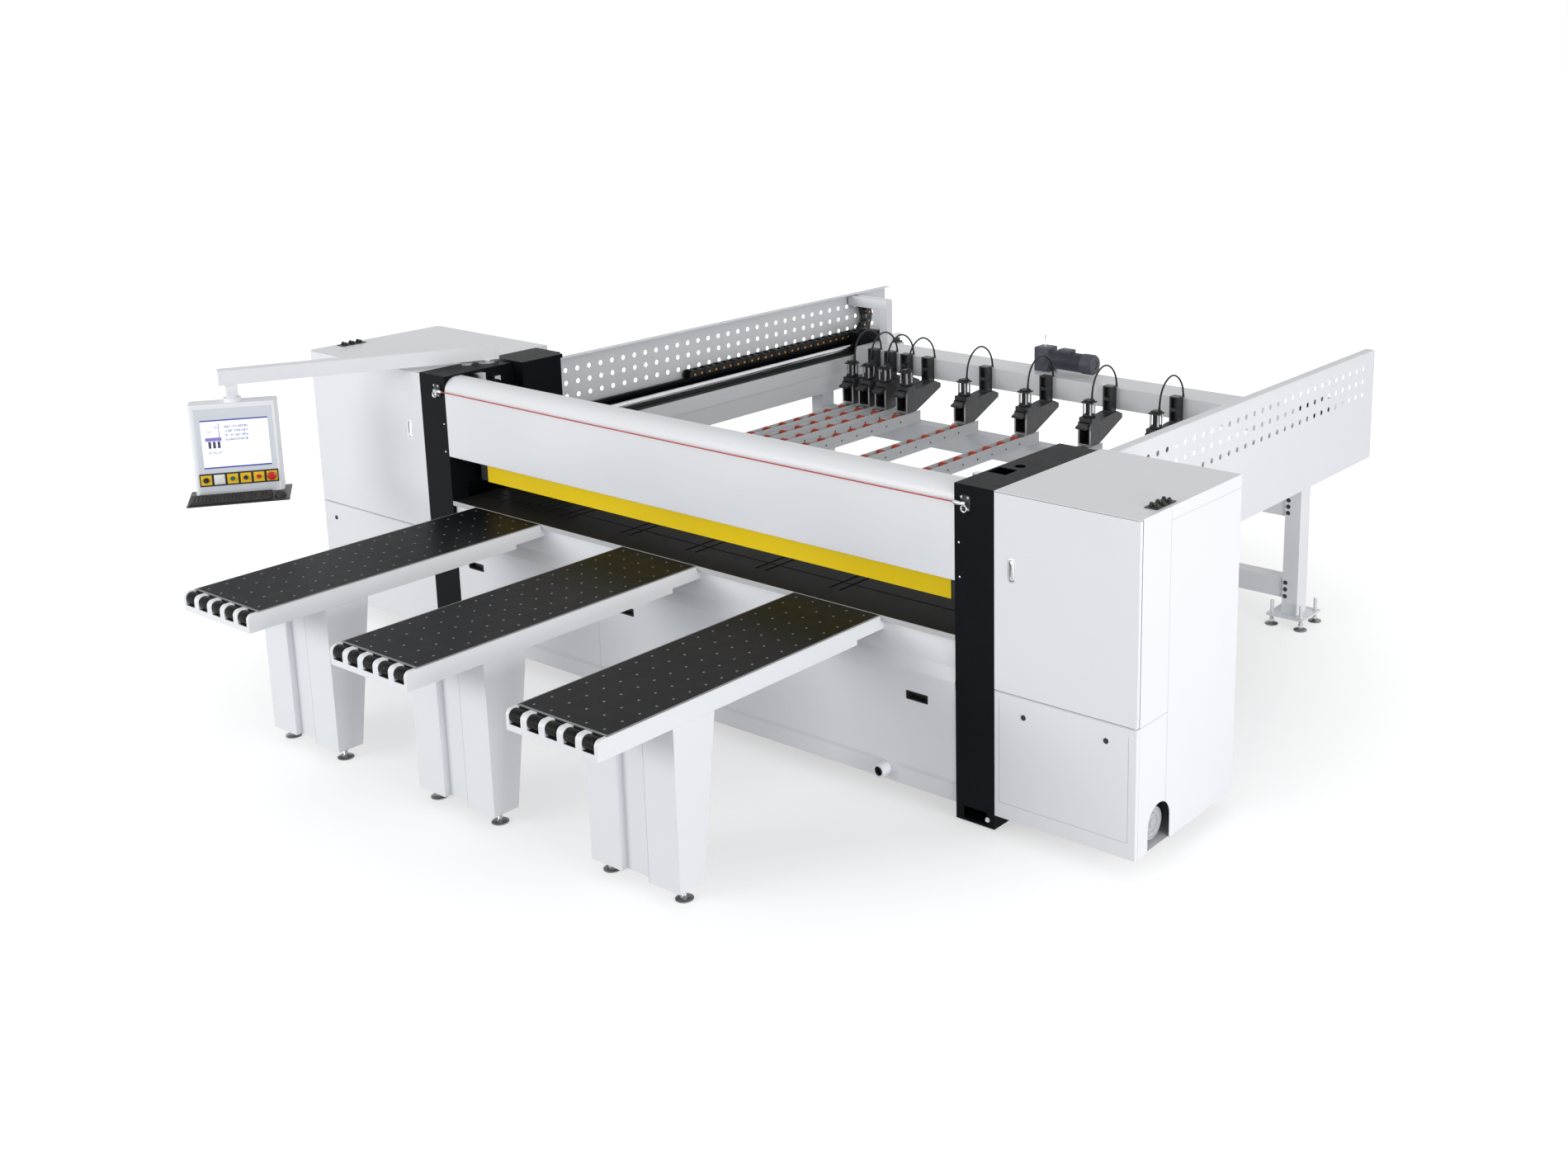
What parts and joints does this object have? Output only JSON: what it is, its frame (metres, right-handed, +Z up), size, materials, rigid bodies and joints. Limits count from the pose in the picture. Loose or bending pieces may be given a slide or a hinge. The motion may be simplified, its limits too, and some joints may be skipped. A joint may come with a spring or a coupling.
{
  "type": "CNC panel saw (beam saw)",
  "caption": "Rear-loading beam saw with air tables, pressure beam, clamp pusher, control pendant and side cabinets.",
  "frame": {"origin": "centre of the footprint on the floor", "axes": "+X along the saw line to the operator's right, +Y from the operator to the rear, +Z up"},
  "size_m": [5.764, 5.726, 1.712],
  "materials": {
    "white_paint": "semi-gloss",
    "black_paint": "satin",
    "grey_paint": "satin",
    "dark_board": "satin",
    "yellow_paint": "satin",
    "steel": "machined",
    "aluminium": "satin",
    "red_rope": "smooth",
    "red_roller": "matt",
    "black_rubber": "matt",
    "black_plastic": "matt",
    "screen_glass": "glossy",
    "green_plastic": "glossy",
    "red_plastic": "glossy"
  },
  "bodies": {
    "machine": {"left_column": "black_paint", "right_column": "black_paint", "saw_base": "white_paint", "front_covers": "white_paint", "worktable": "dark_board", "left_cabinet": "white_paint", "right_cabinet": "white_paint", "access_panels": "white_paint", "cable_glands": "black_plastic", "electrical_panel": "grey_paint", "blower": "grey_paint", "bridge_cover": "white_paint", "rope_fittings": "steel", "pull_rope": "red_rope", "beam_cylinders": "aluminium", "valve_box": "black_paint", "saw_rails": "steel", "air_tables": "white_paint", "table_tops": "dark_board", "table_legs": "white_paint", "levelling_feet": "steel", "arm_post": "steel", "side_panels": "white_paint", "side_beams": "white_paint", "guide_rails": "steel", "chain_tray": "black_paint", "drag_chain": "black_plastic", "rear_frame": "white_paint", "roller_tracks": "aluminium", "track_rollers": "red_roller"},
    "left_door": {"left_door": "white_paint"},
    "left_latch": {"left_latch": "black_plastic"},
    "right_door": {"right_door": "white_paint"},
    "right_latch": {"right_latch": "black_plastic"},
    "pressure_beam": {"pressure_beam": "grey_paint", "safety_strip": "yellow_paint"},
    "saw_carriage": {"saw_carriage": "grey_paint"},
    "carriage_pinion": {"carriage_pinion": "steel"},
    "blade_lift": {"blade_lift": "grey_paint"},
    "main_blade": {"main_blade": "steel"},
    "scoring_blade": {"scoring_blade": "steel"},
    "nose_rollers_1": {"nose_rollers_1": "black_rubber"},
    "nose_rollers_2": {"nose_rollers_2": "black_rubber"},
    "nose_rollers_3": {"nose_rollers_3": "black_rubber"},
    "control_arm": {"control_arm": "white_paint"},
    "pendant": {"pendant_box": "white_paint", "pendant_screen": "screen_glass", "button_strip": "black_plastic", "keyboard": "black_plastic"},
    "green_button": {"green_button": "green_plastic"},
    "black_button": {"black_button": "black_plastic"},
    "red_button": {"red_button": "red_plastic"},
    "emergency_stop": {"emergency_stop": "red_plastic"},
    "pusher": {"pusher_beam": "white_paint", "pusher_carriages": "black_paint", "pusher_motor": "grey_paint", "clamp_arms": "grey_paint", "clamp_cylinders": "aluminium", "clamp_hoses": "black_rubber"},
    "clamp_jaws": {"clamp_jaws": "steel"}
  },
  "joints": [
    {"name": "left_door_swing", "type": "hinge", "parent": "machine", "child": "left_door", "pos_m": [-2.869, -1.137, 1.15], "axis": [0, 0, 1], "range_deg": [-32, 0]},
    {"name": "left_latch_turn", "type": "hinge", "parent": "left_door", "child": "left_latch", "pos_m": [-1.971, -1.142, 1.306], "axis": [-1, 0, 0], "range_deg": [0, 30]},
    {"name": "right_door_swing", "type": "hinge", "parent": "machine", "child": "right_door", "pos_m": [2.869, -1.137, 1.15], "axis": [0, 0, 1], "range_deg": [0, 110]},
    {"name": "right_latch_turn", "type": "hinge", "parent": "right_door", "child": "right_latch", "pos_m": [2.233, -1.142, 1.306], "axis": [-1, 0, 0], "range_deg": [0, 30]},
    {"name": "pressure_beam_lift", "type": "slide", "parent": "machine", "child": "pressure_beam", "axis": [0, 0, 1], "range_m": [-0.1, 0]},
    {"name": "saw_carriage_travel", "type": "slide", "parent": "machine", "child": "saw_carriage", "axis": [1, 0, 0], "range_m": [0, 3.3]},
    {"name": "carriage_pinion_turn", "type": "hinge", "parent": "saw_carriage", "child": "carriage_pinion", "pos_m": [-1.27, -0.529, 0.615], "axis": [0, 1, 0], "range_deg": [-7600, 0]},
    {"name": "blade_lift_rise", "type": "slide", "parent": "saw_carriage", "child": "blade_lift", "axis": [0, 0, 1], "range_m": [0, 0.11]},
    {"name": "main_blade_spin", "type": "hinge", "parent": "blade_lift", "child": "main_blade", "pos_m": [-1.465, -0.897, 0.67], "axis": [0, 1, 0], "continuous": true},
    {"name": "scoring_blade_spin", "type": "hinge", "parent": "blade_lift", "child": "scoring_blade", "pos_m": [-1.74, -0.897, 0.712], "axis": [0, 1, 0], "continuous": true},
    {"name": "control_arm_swing", "type": "hinge", "parent": "machine", "child": "control_arm", "pos_m": [-1.763, -0.747, 1.66], "axis": [0, 0, 1], "range_deg": [0, 75]},
    {"name": "pendant_swivel", "type": "hinge", "parent": "control_arm", "child": "pendant", "pos_m": [-2.36473, -1.96664, 1.545], "axis": [0, 0, 1], "range_deg": [-45, 45]},
    {"name": "green_button_press", "type": "slide", "parent": "pendant", "child": "green_button", "axis": [-0.8141, 0.5807, 0], "range_m": [0, 0.003], "stiffness_N_per_m": 400, "springref_m": -0.002},
    {"name": "black_button_press", "type": "slide", "parent": "pendant", "child": "black_button", "axis": [-0.8141, 0.5807, 0], "range_m": [0, 0.003], "stiffness_N_per_m": 400, "springref_m": -0.002},
    {"name": "red_button_press", "type": "slide", "parent": "pendant", "child": "red_button", "axis": [-0.8141, 0.5807, 0], "range_m": [0, 0.003], "stiffness_N_per_m": 400, "springref_m": -0.002},
    {"name": "emergency_stop_press", "type": "slide", "parent": "pendant", "child": "emergency_stop", "axis": [-0.8141, 0.5807, 0], "range_m": [0, 0.003]},
    {"name": "pusher_travel", "type": "slide", "parent": "machine", "child": "pusher", "axis": [0, 1, 0], "range_m": [-2.65, 0], "deforming": ["drag_chain"]},
    {"name": "clamp_jaws_close", "type": "slide", "parent": "pusher", "child": "clamp_jaws", "axis": [0, 0, 1], "range_m": [-0.1, 0]},
    {"name": "nose_rollers_1_spin", "type": "hinge", "parent": "machine", "child": "nose_rollers_1", "pos_m": [-1.161, -2.833, 0.868], "axis": [1, 0, 0], "continuous": true},
    {"name": "nose_rollers_2_spin", "type": "hinge", "parent": "machine", "child": "nose_rollers_2", "pos_m": [0.019, -2.833, 0.868], "axis": [1, 0, 0], "continuous": true},
    {"name": "nose_rollers_3_spin", "type": "hinge", "parent": "machine", "child": "nose_rollers_3", "pos_m": [1.213, -2.833, 0.868], "axis": [1, 0, 0], "continuous": true}
  ],
  "couplings": [
    {"joint": "carriage_pinion_turn", "follows": "saw_carriage_travel", "rad_per_m": -40}
  ]
}
